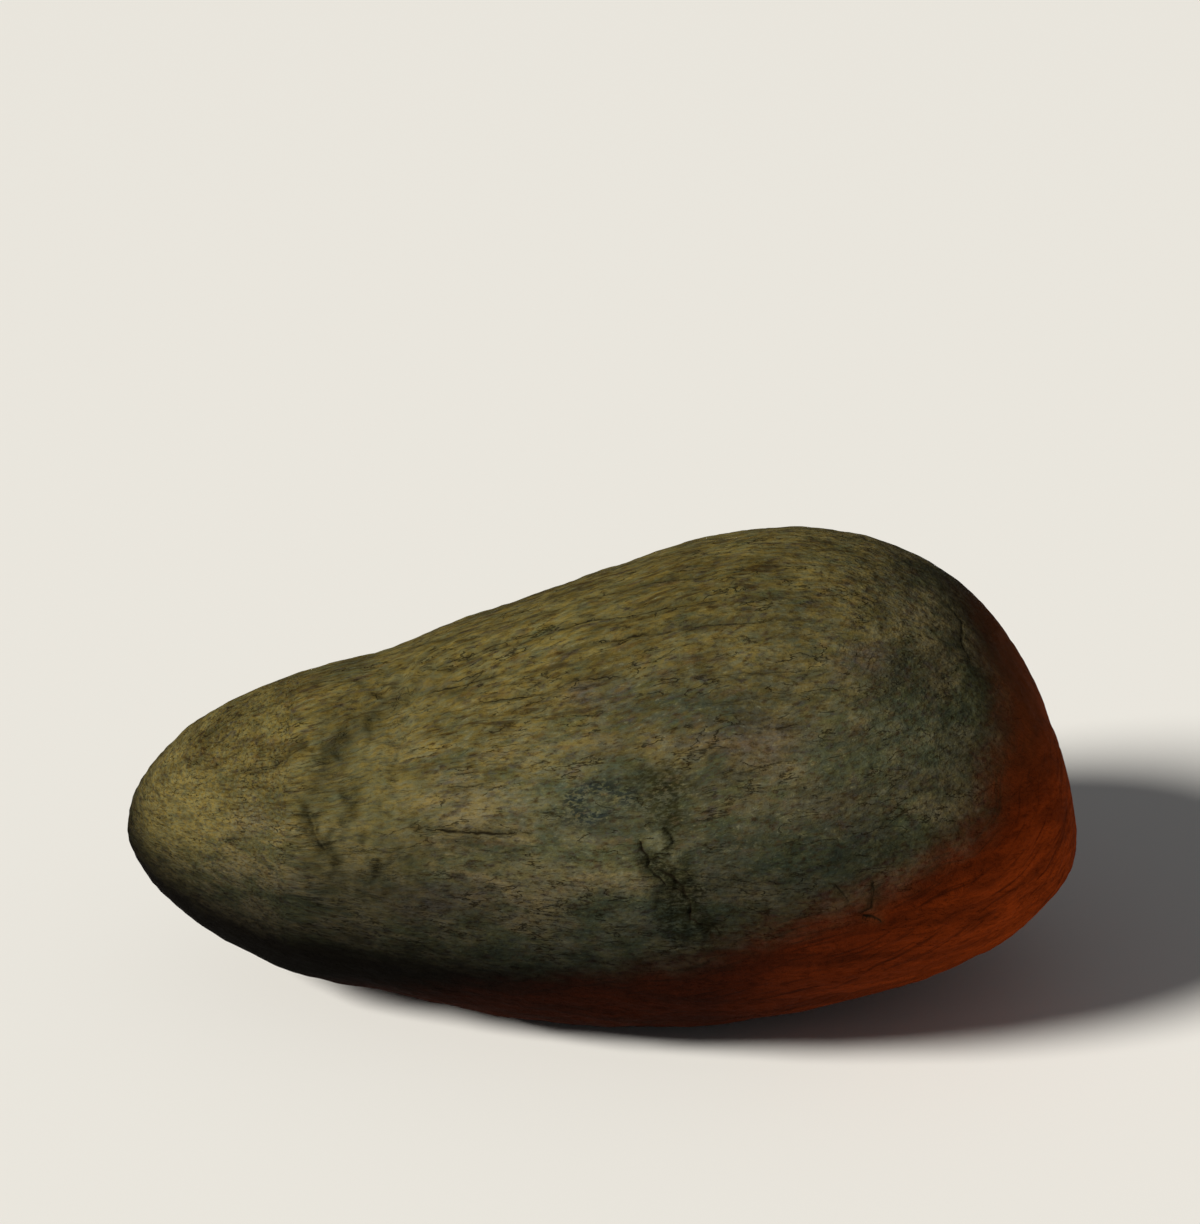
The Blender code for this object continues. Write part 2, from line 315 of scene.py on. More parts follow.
FLOOR_RADIUS = 12


def seen_direction(pixel):
    """The direction in which the camera sees a pixel."""
    across = (pixel[0] - IMAGE[0] / 2) / FOCAL_PX
    down = (pixel[1] - IMAGE[1] / 2) / FOCAL_PX
    return CAMERA_MATRIX.to_3x3() @ Vector((across, -down, -1)).normalized()


def camera_matrix():
    """Where the camera stands and how it is turned."""
    lift = math.atan((AIM_PIXEL[1] - IMAGE[1] / 2) / FOCAL_PX)
    rise = math.radians(ELEVATION)
    place = AIM + DISTANCE * Vector((0, -math.cos(rise), math.sin(rise)))
    turn = Matrix.Rotation(math.pi / 2 - (rise - lift), 4, "X")
    return Matrix.Translation(place) @ turn


CAMERA_MATRIX = camera_matrix()
SEEN_RIGHT, SEEN_UP, SEEN_NEARER = np.array(CAMERA_MATRIX.to_3x3()).T


def add_camera():
    data = bpy.data.cameras.new("camera")
    data.lens = LENS
    data.sensor_width = SENSOR
    camera = bpy.data.objects.new("camera", data)
    camera.matrix_world = CAMERA_MATRIX
    bpy.context.scene.collection.objects.link(camera)
    bpy.context.scene.camera = camera


def smoothstep(low, high, value):
    """0 below low, 1 above high, and a soft rise between them."""
    t = np.clip((value - low) / (high - low), 0, 1)
    return t * t * (3 - 2 * t)


def noise_at(points, spacing, seed=0.0):
    """Soft noise from -1 to 1 at each point, with lumps about that far apart."""
    shift = Vector((seed * 17.3, seed * 5.1, seed * 9.7))
    return np.array([noise.noise(Vector(p) + shift) for p in points / spacing])


def fine_ball():
    """A ball of quads whose grid follows the length, depth and height."""
    bm = bmesh.new()
    bmesh.ops.create_cube(bm, size=2)
    for axis, cells in enumerate(CELLS):
        along = [e for e in bm.edges if abs((e.verts[0].co - e.verts[1].co)[axis]) > 1e-6]
        bmesh.ops.subdivide_edges(bm, edges=along, cuts=cells - 1, use_grid_fill=True)
    for vert in bm.verts:
        vert.co = Vector([math.tan(c * math.pi / 4) for c in vert.co]).normalized()
    bm.verts.index_update()
    return bm


def cast_onto(bm, solid):
    """Moves every point of the ball straight out to the surface of the solid."""
    low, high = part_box(solid.name)
    middle = (low + high) / 2
    size = high - low
    faces = [p.vertices for p in solid.data.polygons]
    tree = BVHTree.FromPolygons([v.co for v in solid.data.vertices], faces)
    for vert in bm.verts:
        way = Vector([vert.co[i] * size[i] for i in range(3)]).normalized()
        vert.co = tree.ray_cast(middle + way, -way)[0]


def neighbours(bm):
    """The four points next to each point. At the eight corners of the grid one is the point itself."""
    table = np.repeat(np.arange(len(bm.verts))[:, None], 4, axis=1)
    for vert in bm.verts:
        for i, edge in enumerate(vert.link_edges):
            table[vert.index, i] = edge.other_vert(vert).index
    return table


def co_array(bm):
    return np.array([v.co for v in bm.verts])


def smooth_facets(bm):
    """Rounds the facets of the solid off, less where the solid itself is detailed. The seat stays flat."""
    points = co_array(bm)
    table = neighbours(bm)
    seat = points[:, 2] < 0.01 * MM
    detailed = fine_box_share(points, 1.5)
    for i in range(SMOOTH_ROUNDS):
        share = SMOOTH_SHARE if i < FIRST_ROUNDS else SMOOTH_SHARE * (1 - detailed)[:, None]
        points += share * (points[table].mean(axis=1) - points)
    points[seat, 2] = 0
    points[:, 2] = np.maximum(points[:, 2], 0)
    for vert, point in zip(bm.verts, points):
        vert.co = point


def fine_box_share(points, margin):
    """1 inside the fine boxes and 0 outside, with a soft edge of that many millimetres."""
    inside = np.zeros(len(points))
    for low, high in FINE_BOXES:
        gap = np.minimum(points - np.array(low) * MM, np.array(high) * MM - points).min(axis=1)
        inside = np.maximum(inside, smoothstep(-margin * MM, margin * MM, gap))
    return inside


def refine(bm, chosen):
    """Halves the grid at the chosen faces."""
    edges = {edge for face in chosen for edge in face.edges}
    bmesh.ops.subdivide_edges(bm, edges=list(edges), cuts=1, use_grid_fill=True)


class Seen:
    """Finds the places of the stone that the camera of the photograph sees at given pixels."""

    def __init__(self, bm):
        self.tree = BVHTree.FromBMesh(bm)

    def place(self, pixel):
        start = CAMERA_MATRIX.translation
        return np.array(self.tree.ray_cast(start, seen_direction(pixel))[0])

    def path(self, pixels, seed):
        """Closely spaced places along a line of pixels, jogging a little as cracks do."""
        places = []
        for start, end in zip(pixels, pixels[1:]):
            count = max(round(math.dist(start, end) / CRACK_STEP_PX), 1)
            for i in range(count):
                share = i / count
                pixel = [a + (b - a) * share for a, b in zip(start, end)]
                places.append(self.place(pixel))
        places.append(self.place(pixels[-1]))
        places = np.array(places)
        for axis in range(3):
            places[:, axis] += CRACK_JOG * noise_at(places, JOG_SPACING, seed + axis / 7)
        return places


def distance_to_path(points, path):
    """How far each point is from the path, how far along it that is, 0 to 1, and on which side, 1 or -1."""
    best = np.full(len(points), np.inf)
    along = np.zeros(len(points))
    side = np.ones(len(points))
    reach = np.ptp(path, axis=0).max() + PATH_REACH
    chosen = np.nonzero(np.linalg.norm(points - path.mean(axis=0), axis=1) < reach)[0]
    some = points[chosen]
    for i, (start, end) in enumerate(zip(path, path[1:])):
        step = end - start
        t = np.clip((some - start) @ step / max(step @ step, 1e-12), 0, 1)
        offset = some - start - t[:, None] * step
        gap = np.linalg.norm(offset, axis=1)
        closer = gap < best[chosen]
        best[chosen[closer]] = gap[closer]
        along[chosen[closer]] = (i + t[closer]) / (len(path) - 1)
        side[chosen[closer]] = np.where(np.cross(step, offset)[closer] @ SEEN_NEARER > 0, 1, -1)
    return best, along, side


def long_grain_share(points):
    """1 on top of the stone, where the grain is long, and 0 low on its sides."""
    return smoothstep(*LONG_GRAIN_Z, (points[:, 2] - LEAN * points[:, 0]) / MM)


def grain_coordinates(points):
    """The stone's grain: long along it, longer on top and short at the tip, leaning up with the crest."""
    p = points / MM
    crest = CREST_Z - CREST_SLOPE * np.maximum(CREST_X - p[:, 0], 0)
    height = (p[:, 2] - LEVEL_Z) * (CREST_Z - LEVEL_Z) / (crest - LEVEL_Z)
    bend = 3 * noise_at(points, 45 * MM, 3)
    length = p[:, 0] / GRAIN_LENGTH * (1 - TOP_STRETCH * long_grain_share(points))
    length -= np.maximum(TIP_X - p[:, 0], 0) / TIP_GRAIN_LENGTH
    return np.stack([length, p[:, 1] / GRAIN_DEPTH, height + bend], axis=1)


def patch_mask(points, seen, patches, spacing, seed):
    """1 in the middle of soft patches given by pixels, with uneven edges."""
    mask = np.zeros(len(points))
    pixel_size = DISTANCE / FOCAL_PX
    wander = noise_at(points, spacing, seed)
    for pixel, reach in patches:
        offset = points - seen.place(pixel)
        across = (offset @ SEEN_RIGHT) / (reach[0] * pixel_size)
        upward = (offset @ SEEN_UP) / (reach[1] * pixel_size)
        inward = offset @ SEEN_NEARER / (max(reach) * 2 * pixel_size)
        share = np.sqrt(across**2 + upward**2 + inward**2) * (1 + 0.5 * wander)
        mask = np.maximum(mask, 1 - smoothstep(0.25, 1.15, share))
    return mask


def distance_past(points, plane):
    """How far beyond a plane a point lies, in millimetres."""
    p = points / MM
    folded = MIRROR_Y - np.hypot(p[:, 1] - MIRROR_Y, MIRROR_ROUND)
    (nx, ny, nz), offset = plane
    return nx * p[:, 0] + ny * folded + nz * p[:, 2] + offset


class Relief:
    """The fine relief: its height in millimetres at each point, and how dark the painted shade in its
    hollows is, 0 to 1.
    """

    def __init__(self, points, seen, grain):
        self.points = points
        self.seen = seen
        self.grain = grain
        self.height = np.zeros(len(points))
        self.hollow_shade = np.zeros(len(points))

    def noise(self, spacing, seed):
        """Soft noise with lumps about that many millimetres apart."""
        return noise_at(self.points, spacing * MM, seed)

    def from_path(self, pixels, seed):
        """How far each point is from a line of pixels, how far along it that is, and on which side."""
        return distance_to_path(self.points, self.seen.path(pixels, seed))

    # Painted shade in hollows, creases, pits, furrows and the trough, kept at its darkest.
    def darken(self, shade):
        self.hollow_shade = np.maximum(self.hollow_shade, shade)

    def weather(self):
        """Soft lumps everywhere, and ridges and furrows along the grain, strongest on top, with painted
        shade in the furrows.
        """
        for tall, spacing, seed in LUMPS:
            self.height += tall * self.noise(spacing, seed)
        long_grain = long_grain_share(self.points)
        for tall, taller, spacing, seed in RIDGES:
            self.height += (tall + taller * long_grain) * noise_at(self.grain, spacing, seed)
        furrow = np.maximum(1 - np.abs(noise_at(self.grain, 6, 5)) / FURROW_WIDTH, 0)
        furrow *= smoothstep(0.05, 0.4, self.noise(16, 6)) * long_grain
        self.height -= FURROW_DEPTH * furrow
        self.darken(FURROW_DARKNESS * furrow)

    def cut_waist(self):
        """Lowers the ground behind the waist's edges, paints shade into its trough and roughens its middle.
        Gives the share of the rough ground at each point."""
        for number, (drop, slope, rise, pixels) in enumerate(WAIST_EDGES):
            gap, along, side = self.from_path(pixels, EDGE_SEED + number)
            right = np.minimum(gap / MM, 100) * side + 0.7 * self.noise(5, 40 + number)
            fade = np.sin(np.pi * np.clip(along, 0.02, 0.98)) ** 0.5
            fade *= 1 - 0.7 * smoothstep(0.4, 0.65, along)
            step = smoothstep(-slope, slope, right) * np.exp(-np.maximum(right, 0) / rise)
            self.height -= drop * fade * step
        gap = self.from_path(WAIST_TROUGH, TROUGH_SEED)[0] / MM
        trough = 1 - smoothstep(0.3, TROUGH_REACH, gap * (1 + 0.6 * self.noise(3, 16)))
        self.darken(TROUGH_DARKNESS * trough)
        gap = self.from_path(WAIST_MIDDLE, MIDDLE_SEED)[0] / MM
        waist = smoothstep(WAIST_REACH, 0.4 * WAIST_REACH, gap * (1 + 0.5 * self.noise(6, 7)))
        self.height += waist * (0.8 * self.noise(3.4, 8) + 0.4 * self.noise(1.9, 9))
        return waist

    def cut_moss(self):
        """Lowers and roughens the damp-looking band. Gives its share at each point."""
        gap = self.from_path(MOSS_BAND, BAND_SEED)[0] / (MOSS_REACH * MM)
        moss = 1 - smoothstep(0.2, 1.1, gap * (1 + 0.7 * self.noise(3, 10)))
        moss = np.maximum(moss, patch_mask(self.points, self.seen, MOSS_PATCHES, 4 * MM, 39))
        self.height += moss * (0.5 * self.noise(1.8, 11) - 0.35)
        return moss

    def cut_creases(self):
        """Presses the soft creases in, with painted shade that is darker in their middle."""
        wander = 1 + 0.6 * noise_at(self.grain, 2, 17)
        for number, (reach, depth, darkness, pixels) in enumerate(CREASES):
            gap, along, _ = self.from_path(pixels, CREASE_SEED + number)
            taper = np.sin(np.pi * np.clip(along, 0.05, 0.95)) ** 0.4
            soft = 1 - smoothstep(0, 1, gap / (reach * taper * MM) * wander)
            self.height -= depth * soft
            self.darken(darkness * soft)

    def cut_cracks(self):
        """Cuts the cracks, each in a soft dip with painted shade. Gives the distance from the nearest one,
        in half widths and with its side as the sign, and how dark that crack is."""
        crack = np.full(len(self.points), float(CRACK_BAND))
        crack_share = np.zeros(len(self.points))
        wander = 1 + 0.5 * self.noise(2, 12)
        for number, (half_width, depth, darkness, pixels) in enumerate(CRACKS):
            gap, along, side = self.from_path(pixels, number)
            taper = 0.35 + 0.65 * np.sin(np.pi * np.clip(along, 0.001, 0.999)) ** 0.6
            taper *= wander
            share = gap / (half_width * taper * MM)
            self.height -= depth * taper * np.maximum(1 - share / CRACK_CUT, 0)
            self.height -= 0.25 * depth * np.maximum(1 - share / CRACK_DIP, 0)
            self.darken(HOLLOW_DARKNESS * darkness * (1 - share / CRACK_DIP))
            closer = (share < np.abs(crack)) & (share < CRACK_BAND)
            crack[closer] = (share * side)[closer]
            broken = np.clip(0.9 + 1.2 * noise_at(self.points[closer], 3.5 * MM, 15), 0.4, 1)
            crack_share[closer] = darkness * broken * smoothstep(CRACK_BAND, 2.2, share[closer])
        return crack, crack_share

    def cut_pits(self):
        """Sinks the small uneven pits, with painted shade in them."""
        for number, (pixel, radius, depth) in enumerate(PITS):
            gap = np.linalg.norm(self.points - self.seen.place(pixel), axis=1) / (radius * MM)
            share = gap * (1 + 0.9 * self.noise(1.7, 20 + number))
            self.height -= depth * np.maximum(1 - share * share, 0)
            self.darken(HOLLOW_DARKNESS * (1 - smoothstep(0.1, 1.1, share)))

    def carve(self):
        """Makes the whole relief, and gives the layers that the shader reads."""
        self.weather()
        waist = self.cut_waist()
        moss = self.cut_moss()
        self.cut_creases()
        crack, crack_share = self.cut_cracks()
        self.cut_pits()
        self.height *= smoothstep(0.3, 3, self.points[:, 2] / MM)
        return {
            "crack": crack,
            "crack_share": crack_share,
            "hollow_shade": self.hollow_shade,
            "moss": moss,
            "waist": waist,
        }


def stain_layers(points, seen):
    """Where the painted red light, the painted black shade of the underside and the painted half shade above
    them lie, and the streaks in the red light.
    """
    red_light = distance_past(points, RED_LIGHT_PLANE)
    for patch, bulge in RED_LIGHT_BULGES:
        red_light += bulge * patch_mask(points, seen, (patch,), 12 * MM, 41)
    underside_shade = distance_past(points, UNDERSIDE_SHADE_PLANE)
    along, starts, ends, shares = np.array(HALF_SHADE_STATIONS).T
    start = np.interp(points[:, 0] / MM, along, starts)
    end = np.interp(points[:, 0] / MM, along, ends)
    across = red_light / STREAK_WIDTH + 2 * noise_at(points, 30 * MM, 18)
    lengths = points[:, :2] / (STREAK_LENGTH * MM)
    return {
        "red_light": red_light,
        "underside_shade": underside_shade,
        "half_shade": (np.maximum(red_light, underside_shade) - start) / (end - start),
        "half_shade_share": np.interp(points[:, 0] / MM, along, shares),
        "sweep": np.stack([across, lengths[:, 0], lengths[:, 1]], axis=1),
    }


def add_attribute(mesh, name, values):
    """Stores a number or a place for each point of the mesh."""
    kind = "FLOAT" if values.ndim == 1 else "FLOAT_VECTOR"
    field = "value" if values.ndim == 1 else "vector"
    layer = mesh.attributes.new(name, kind, "POINT")
    layer.data.foreach_set(field, values.astype(np.float32).ravel())


def refine_details(bm, seen):
    """A finer grid in the fine boxes, and then along the cracks."""
    centres = np.array([f.calc_center_median() for f in bm.faces])
    inside = fine_box_share(centres, 0.1) > 0.5
    refine(bm, [f for f, chosen in zip(bm.faces, inside) if chosen])
    centres = np.array([f.calc_center_median() for f in bm.faces])
    nearest = np.full(len(centres), np.inf)
    for number, crack in enumerate(CRACKS):
        nearest = np.minimum(nearest, distance_to_path(centres, seen.path(crack[3], number))[0])
    refine(bm, [f for f, gap in zip(bm.faces, nearest) if gap < FINE_REACH * MM])
    bm.normal_update()


def build_stone():
    """The fine surface of the stone, on the CAD solid."""
    bm = fine_ball()
    cast_onto(bm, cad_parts["stone"])
    smooth_facets(bm)
    seen = Seen(bm)
    refine_details(bm, seen)
    points = co_array(bm)
    normals = np.array([v.normal for v in bm.verts])
    grain = grain_coordinates(points)
    relief = Relief(points, seen, grain)
    layers = {"grain": grain, **relief.carve(), **stain_layers(points, seen)}
    for name, patches, spacing, seed in PATCH_KINDS:
        layers[name] = patch_mask(points, seen, patches, spacing * MM, seed)
    placed = points + normals * (relief.height * MM)[:, None]
    placed[:, 2] = np.maximum(placed[:, 2], 0)
    for vert, place in zip(bm.verts, placed):
        vert.co = place
    mesh = bpy.data.meshes.new("stone_skin")
    bm.to_mesh(mesh)
    bm.free()
    for name, values in layers.items():
        add_attribute(mesh, name, values)
    mesh.shade_smooth()
    stone = bpy.data.objects.new("stone_skin", mesh)
    bpy.context.scene.collection.objects.link(stone)
    return stone


class Nodes:
    """Short ways to add the shader nodes of one material."""

    def __init__(self, material):
        material.use_nodes = True
        self.tree = material.node_tree
        self.tree.nodes.clear()

    def add(self, kind, **settings):
        node = self.tree.nodes.new(kind)
        for name, value in settings.items():
            setattr(node, name, value)
        return node

    def put(self, socket, value):
        if isinstance(value, bpy.types.NodeSocket):
            self.tree.links.new(value, socket)
        else:
            socket.default_value = value

    def attribute(self, name, output="Fac"):
        return self.add("ShaderNodeAttribute", attribute_name=name).outputs[output]

    def noise(self, place, scale, detail=4.0, roughness=0.55, distortion=0.0):
        node = self.add("ShaderNodeTexNoise")
        self.put(node.inputs["Vector"], place)
        node.inputs["Scale"].default_value = scale
        node.inputs["Detail"].default_value = detail
        node.inputs["Roughness"].default_value = roughness
        node.inputs["Distortion"].default_value = distortion
        return node.outputs["Fac"]

    def span(self, value, low, high, to_low=0.0, to_high=1.0):
        node = self.add("ShaderNodeMapRange", interpolation_type="SMOOTHSTEP")
        self.put(node.inputs["Value"], value)
        node.inputs["From Min"].default_value = low
        node.inputs["From Max"].default_value = high
        node.inputs["To Min"].default_value = to_low
        node.inputs["To Max"].default_value = to_high
        return node.outputs["Result"]

    def math(self, operation, first, second=0.0):
        node = self.add("ShaderNodeMath", operation=operation)
        self.put(node.inputs[0], first)
        self.put(node.inputs[1], second)
        return node.outputs["Value"]

    def plus(self, first, second):
        return self.math("ADD", first, second)

    def times(self, first, second):
        return self.math("MULTIPLY", first, second)

    def stretched(self, place, scale):
        node = self.add("ShaderNodeMapping")
        self.put(node.inputs["Vector"], place)
        node.inputs["Scale"].default_value = scale
        return node.outputs["Vector"]

    def mix(self, share, first, second, blend="MIX"):
        node = self.add("ShaderNodeMix", data_type="RGBA", blend_type=blend)
        self.put(node.inputs[0], share)
        self.put(node.inputs[6], first)
        self.put(node.inputs[7], second)
        return node.outputs[2]

    def bump(self, height, distance, strength, normal=None):
        node = self.add("ShaderNodeBump")
        self.put(node.inputs["Height"], height)
        node.inputs["Distance"].default_value = distance
        node.inputs["Strength"].default_value = strength
        if normal is not None:
            self.put(node.inputs["Normal"], normal)
        return node.outputs["Normal"]

    def surface(self, colour, roughness, shine, normal=None):
        shader = self.add("ShaderNodeBsdfPrincipled")
        self.put(shader.inputs["Base Color"], colour)
        self.put(shader.inputs["Roughness"], roughness)
        self.put(shader.inputs["Specular IOR Level"], shine)
        if normal is not None:
            self.put(shader.inputs["Normal"], normal)
        output = self.add("ShaderNodeOutputMaterial")
        self.put(output.inputs["Surface"], shader.outputs["BSDF"])


def rgb(red, green, blue):
    return (red, green, blue, 1)


WHITE = rgb(1, 1, 1)
FLOOR_COLOUR = rgb(0.82, 0.82, 0.81)
BEIGE = rgb(0.15, 0.118, 0.06)
OLIVE = rgb(0.075, 0.072, 0.034)
YELLOW = rgb(0.138, 0.11, 0.035)
OCHRE = rgb(0.094, 0.07, 0.02)
PALE = rgb(0.2, 0.185, 0.1)
BROWN = rgb(0.03, 0.019, 0.007)
MAUVE = rgb(0.045, 0.035, 0.032)
MAUVE_BROWN = rgb(0.1, 0.072, 0.048)
GREY_GREEN = rgb(0.051, 0.062, 0.036)
SLATE = rgb(0.022, 0.024, 0.014)
WARM_SLATE = rgb(0.024, 0.02, 0.006)
GREEN = rgb(0.056, 0.066, 0.032)
UMBER = rgb(0.075, 0.042, 0.022)
BLUE_BLACK = rgb(0.014, 0.018, 0.0155)
# Painted light on the tip, and its calmer mean.
LIT_TIP = rgb(0.2, 0.155, 0.05)
WARM_MEAN = rgb(0.11, 0.087, 0.032)
WAIST_MEAN = rgb(0.09, 0.077, 0.032)
# Painted half shade, multiplied into the skin where it turns from the light.
HALF_SHADE_TINT = rgb(0.29, 0.315, 0.37)
WISP = rgb(0.016, 0.012, 0.005)
COOL_TINT = rgb(0.85, 0.97, 1.22)
WARM_TINT = rgb(1.04, 0.98, 0.74)
# The moss band's own dark colour, also used for the painted shade in the hollows.
DARK_MOSS_AND_SHADE = rgb(0.018, 0.018, 0.008)
CRACK = rgb(0.008, 0.006, 0.003)
# Painted red light: its full, brownish and dim colours.
RED_LIGHT = rgb(0.295, 0.042, 0.0047)
BROWN_RED_LIGHT = rgb(0.12, 0.038, 0.012)
DIM_RED_LIGHT = rgb(0.045, 0.0075, 0.0012)
# Black: pores in the red light, and painted black shade on the underside and where the red light dies away.
BLACK = rgb(0.0025, 0.002, 0.0015)


# The noises of the skin, on the softened grain and on the grain itself: (name, scale, detail, roughness,
# distortion).
SOFT_NOISES = (
    ("mottle", 0.11, 6, 0.6, 0.4),
    ("blotch", 0.3, 5, 0.6, 0.3),
    ("fleck", 0.85, 4, 0.62, 0.2),
    ("spot", 0.6, 3, 0.6, 0.3),
    ("green", 0.31, 4, 0.65, 0.3),
    ("umber", 0.36, 4, 0.65, 0.3),
    ("speck", 1.2, 5, 0.7, 0),
    ("fine", 2.1, 3, 0.6, 0),
    ("tint", 1.05, 4, 0.65, 0.2),
    ("wisp_area", 0.22, 4, 0.65, 0),
)
GRAIN_NOISES = (
    ("streak", 0.4, 5, 0.6, 0.3),
    ("thread", 1.3, 3, 0.55, 0.2),
    ("band", 0.25, 5, 0.6, 0.5),
)
SOFTENING = (6.5, 2.3, 1)
WISP_STRETCH = (3, 1.5, 1)

# The patches, one over the other: (attribute, noise that breaks it up, where that noise is low and high,
# share of the colour there, colour).
SKIN_PATCHES = (
    ("waist", "blotch", 0.4, 0.6, 0.15, 0.55, YELLOW),
    # The warm patch is painted light on the lit tip.
    ("warm", "blotch", 0.35, 0.6, 0.9, 0.6, LIT_TIP),
    ("beige", "blotch", 0.35, 0.6, 0.25, 0.65, BEIGE),
    ("mauve", "blotch", 0.35, 0.6, 0.5, 0.8, MAUVE_BROWN),
    ("green", "blotch", 0.3, 0.62, 0.45, 0.8, GREY_GREEN),
    # The shade and deep patches are partly darker stone and partly painted shade.
    ("shade", "mottle", 0.35, 0.65, 0.65, 0.45, SLATE),
    ("deep", "blotch", 0.35, 0.6, 0.42, 0.62, SLATE),
)

# Marks, one over the other: (noise, where the mark starts and is full, its greatest share, its colour).
SKIN_MARKS = (
    ("fleck", 0.44, 0.34, 0.14, PALE),
    ("green", 0.52, 0.68, 0.42, GREEN),
    ("umber", 0.54, 0.68, 0.38, UMBER),
    ("spot", 0.58, 0.66, 0.42, MAUVE),
    ("speck", 0.49, 0.69, 0.85, BROWN),
    ("speck", 0.43, 0.28, 0.38, PALE),
)
# The stone's streaks and pores as they show in the painted red light.
RED_LIGHT_MARKS = (
    ("band", 0.35, 0.65, 0.5, DIM_RED_LIGHT),
    ("sweep", 0.5, 0.68, 0.65, DIM_RED_LIGHT),
    ("fleck", 0.5, 0.68, 0.4, DIM_RED_LIGHT),
    ("speck", 0.56, 0.72, 0.4, BLACK),
)

# Places where the marks are calmer: (attribute, share, colour).
CALM_PATCHES = (
    ("pale", 0.35, PALE),
    ("warm", 0.3, WARM_MEAN),
    ("waist", 0.35, WAIST_MEAN),
)


def noise_patterns(n):
    """The noises that the stone's colour and fine relief share, and its coordinates, by name."""
    grain = n.attribute("grain", "Vector")
    soft = n.stretched(grain, SOFTENING)
    p = {name: n.noise(soft, *settings) for name, *settings in SOFT_NOISES}
    p.update({name: n.noise(grain, *settings) for name, *settings in GRAIN_NOISES})
    wave = n.noise(n.stretched(grain, WISP_STRETCH), 0.42, 4, 0.55, 0.25)
    line = n.span(n.math("ABSOLUTE", n.math("SUBTRACT", wave, 0.5)), 0.003, 0.014, 1, 0)
    p["wisp"] = n.times(line, n.span(p["wisp_area"], 0.48, 0.58))
    p["sweep"] = n.noise(n.attribute("sweep", "Vector"), 1, 5, 0.62, 0.3)
    split = n.add("ShaderNodeSeparateXYZ")
    n.put(split.inputs[0], n.add("ShaderNodeTexCoord").outputs["Object"])
    p["x"] = split.outputs["X"]
    p["z"] = split.outputs["Z"]
    return p


def add_marks(n, p, colour, marks):
    """Lays marks over a colour."""
    for name, start, full, share, mark in marks:
        colour = n.mix(n.span(p[name], start, full, 0, share), colour, mark)
    return colour


def skin_colour(n, p):
    """The mottled, speckled skin without its rust."""
    lean = n.math("SUBTRACT", p["z"], n.times(p["x"], LEAN))
    warm = n.span(n.plus(lean, n.times(p["mottle"], 0.02)), 0.062, 0.1)
    dark = n.mix(warm, SLATE, WARM_SLATE)
    cool_skin = n.mix(n.span(p["mottle"], 0.42, 0.58), OLIVE, BEIGE)
    warm_skin = n.mix(n.span(p["mottle"], 0.4, 0.6), OCHRE, YELLOW)
    skin = n.mix(warm, cool_skin, warm_skin)
    for name, pattern, low, high, share_low, share_high, colour in SKIN_PATCHES:
        share = n.times(n.attribute(name), n.span(p[pattern], low, high, share_low, share_high))
        skin = n.mix(share, skin, colour)
    skin = n.mix(n.span(p["blotch"], 0.46, 0.66, 0, 0.42), skin, dark)
    streak = n.times(n.span(p["streak"], 0.54, 0.72), n.span(warm, 0, 1, 0.15, 0.5))
    skin = n.mix(streak, skin, BROWN)
    skin = n.mix(n.span(p["fleck"], 0.54, 0.66, 0, 0.38), skin, dark)
    skin = add_marks(n, p, skin, SKIN_MARKS)
    thread = n.times(n.span(p["thread"], 0.53, 0.64), n.span(warm, 0, 1, 0.12, 0.95))
    skin = n.mix(n.times(thread, n.span(p["mottle"], 0.4, 0.55, 1, 0.3)), skin, BROWN)
    dots = n.plus(n.times(p["fine"], 0.6), n.times(p["speck"], 0.4))
    skin = n.mix(n.times(n.attribute("blue"), n.span(dots, 0.45, 0.53, 0.1, 0.95)), skin, BLUE_BLACK)
    skin = n.mix(n.times(n.attribute("moss"), n.span(dots, 0.43, 0.55, 0.2, 0.97)), skin, DARK_MOSS_AND_SHADE)
    for name, share, colour in CALM_PATCHES:
        skin = n.mix(n.times(n.attribute(name), share), skin, colour)
    wisp = n.times(p["wisp"], n.span(n.attribute("waist"), 0, 1, 0.8, 0.25))
    skin = n.mix(wisp, skin, WISP)
    tint = n.mix(n.span(p["tint"], 0.36, 0.64), COOL_TINT, WARM_TINT)
    return n.mix(n.span(warm, 0, 0.6, 0.62, 1), skin, tint, "MULTIPLY")


def red_light_colour(n, p):
    """Painted red light with the stone's darker streaks and pores in it, dimmer near its edge and higher up,
    and stronger towards the big end.
    """
    colour = add_marks(n, p, RED_LIGHT, RED_LIGHT_MARKS)
    colour = n.mix(n.span(n.attribute("red_light"), 0, 22, 0.45, 0), colour, DIM_RED_LIGHT)
    colour = n.mix(n.span(p["z"], 0.052, 0.078, 0, 0.85), colour, BROWN_RED_LIGHT)
    colour = n.mix(n.span(p["z"], 0.072, 0.09, 0, 0.6), colour, BLACK)
    return n.mix(n.math("MINIMUM", n.span(p["x"], 0, 0.11, 1, 0), 0.9), colour, BLACK)


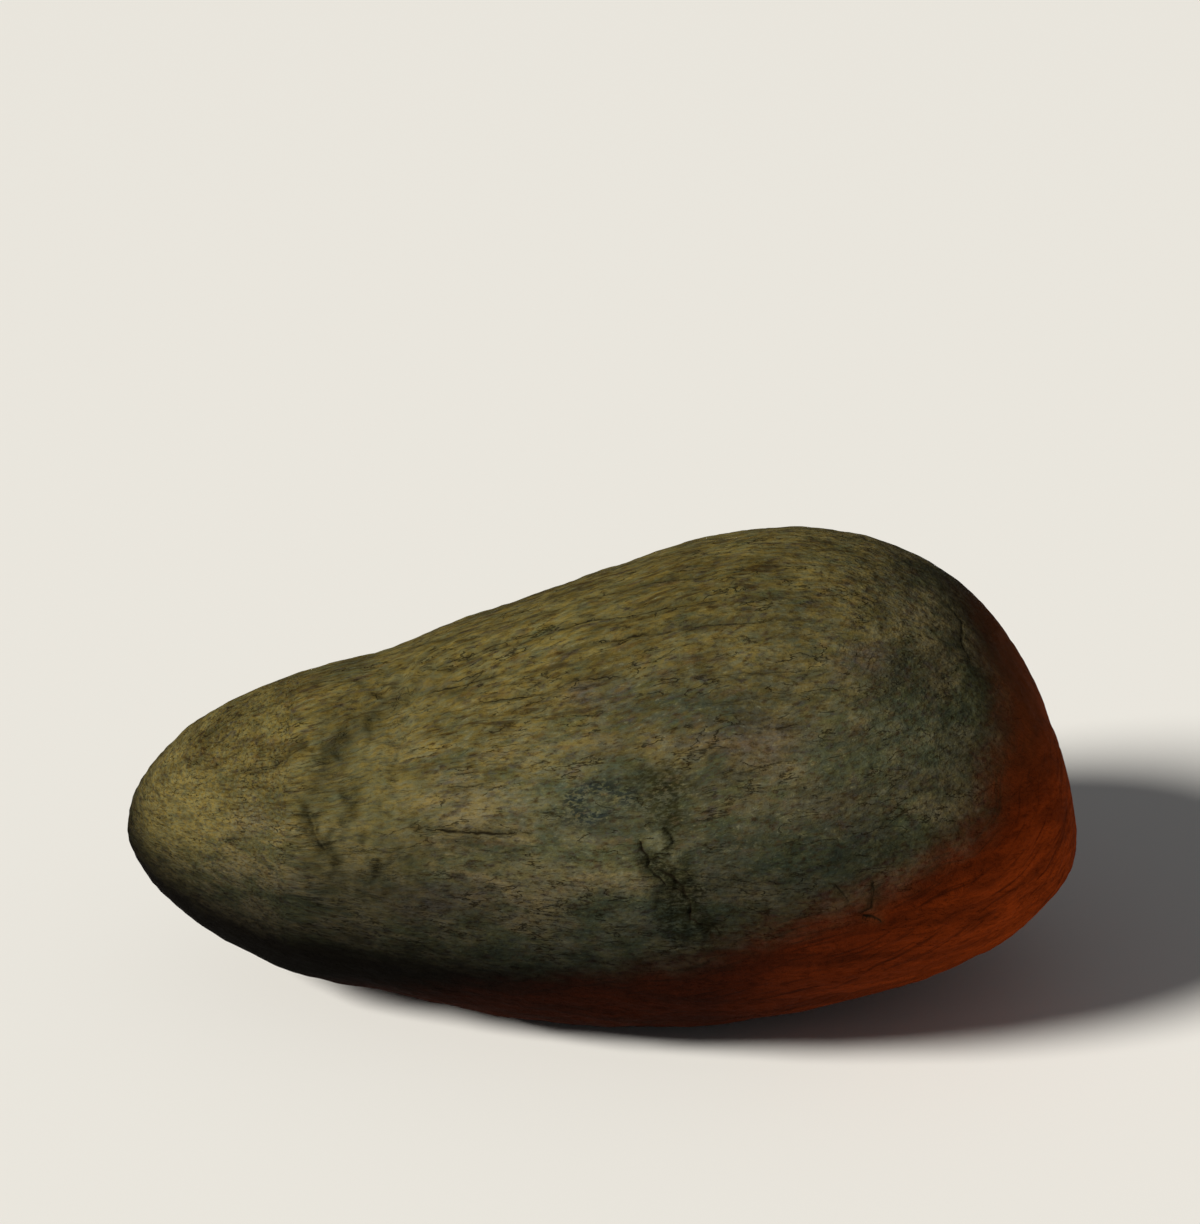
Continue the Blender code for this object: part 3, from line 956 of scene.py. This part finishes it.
def stained_colour(n, p):
    """The skin with its painted half shade, the painted black shade of the underside, the painted red light,
    the painted shade in its hollows, and its cracks.
    """
    uneven = n.times(n.math("SUBTRACT", p["blotch"], 0.5), 7)
    # Painted half shade where the skin turns from the light.
    half_shade = n.span(n.plus(n.attribute("half_shade"), n.times(uneven, 0.07)), 0, 1)
    skin = n.mix(n.times(half_shade, n.attribute("half_shade_share")), skin_colour(n, p), HALF_SHADE_TINT, "MULTIPLY")
    # Painted black shade on the underside.
    skin = n.mix(n.span(n.plus(n.attribute("underside_shade"), uneven), -9, 5, 0, 0.99), skin, BLACK)
    # Painted red light beyond its plane.
    skin = n.mix(n.span(n.plus(n.attribute("red_light"), uneven), -6, 8), skin, red_light_colour(n, p))
    # Painted shade in the hollows, in the dark moss colour.
    skin = n.mix(n.attribute("hollow_shade"), skin, DARK_MOSS_AND_SHADE)
    edge = n.plus(n.math("ABSOLUTE", n.attribute("crack")), n.times(p["speck"], 0.8))
    line = n.times(n.span(edge, 0.7, 1.8, 1, 0), n.attribute("crack_share"))
    return n.mix(line, skin, CRACK)


def stone_bump(n, p):
    """The finest relief: pores, threads and wisps."""
    relief = n.plus(n.times(p["blotch"], -1.1), n.times(p["fleck"], -0.65))
    relief = n.math("SUBTRACT", relief, n.times(p["thread"], n.span(p["z"], 0.05, 0.08, 0.05, 0.5)))
    relief = n.math("SUBTRACT", relief, n.times(p["wisp"], 0.25))
    normal = n.bump(relief, 0.0009, 0.9)
    return n.bump(p["speck"], 0.0003, 0.7, normal)


def stone_material():
    """The stone's skin: tan and grey-green, with painted half shade and painted black shade towards the
    underside, and painted red light beyond the red light plane.
    """
    material = bpy.data.materials.new("worn_stone")
    n = Nodes(material)
    p = noise_patterns(n)
    roughness = n.span(p["fleck"], 0.3, 0.7, 0.75, 0.95)
    n.surface(stained_colour(n, p), roughness, 0.01, stone_bump(n, p))
    return material


def add_floor():
    """A plain pale floor."""
    bpy.ops.mesh.primitive_circle_add(vertices=96, radius=FLOOR_RADIUS, fill_type="NGON")
    floor = bpy.context.object
    floor.name = "floor"
    material = bpy.data.materials.new("floor")
    Nodes(material).surface(FLOOR_COLOUR, 0.9, 0.1)
    floor.data.materials.append(material)


def add_lights():
    """A warm, soft key from the upper left front and a dim even surround."""
    data = bpy.data.lights.new("key", "SUN")
    data.energy = KEY_STRENGTH
    data.angle = math.radians(KEY_SPREAD)
    data.color = KEY_COLOUR
    key = bpy.data.objects.new("key", data)
    key.rotation_euler = Vector(KEY_FROM).to_track_quat("Z", "Y").to_euler()
    bpy.context.scene.collection.objects.link(key)
    world = bpy.data.worlds.new("studio")
    world.use_nodes = True
    background = world.node_tree.nodes["Background"]
    background.inputs["Color"].default_value = WHITE
    background.inputs["Strength"].default_value = SURROUND_STRENGTH
    bpy.context.scene.world = world


def main():
    add_camera()
    stone = build_stone()
    stone.data.materials.append(stone_material())
    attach(stone, "root")
    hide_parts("stone")
    add_floor()
    add_lights()
    bpy.context.scene.view_settings.view_transform = "Standard"


main()
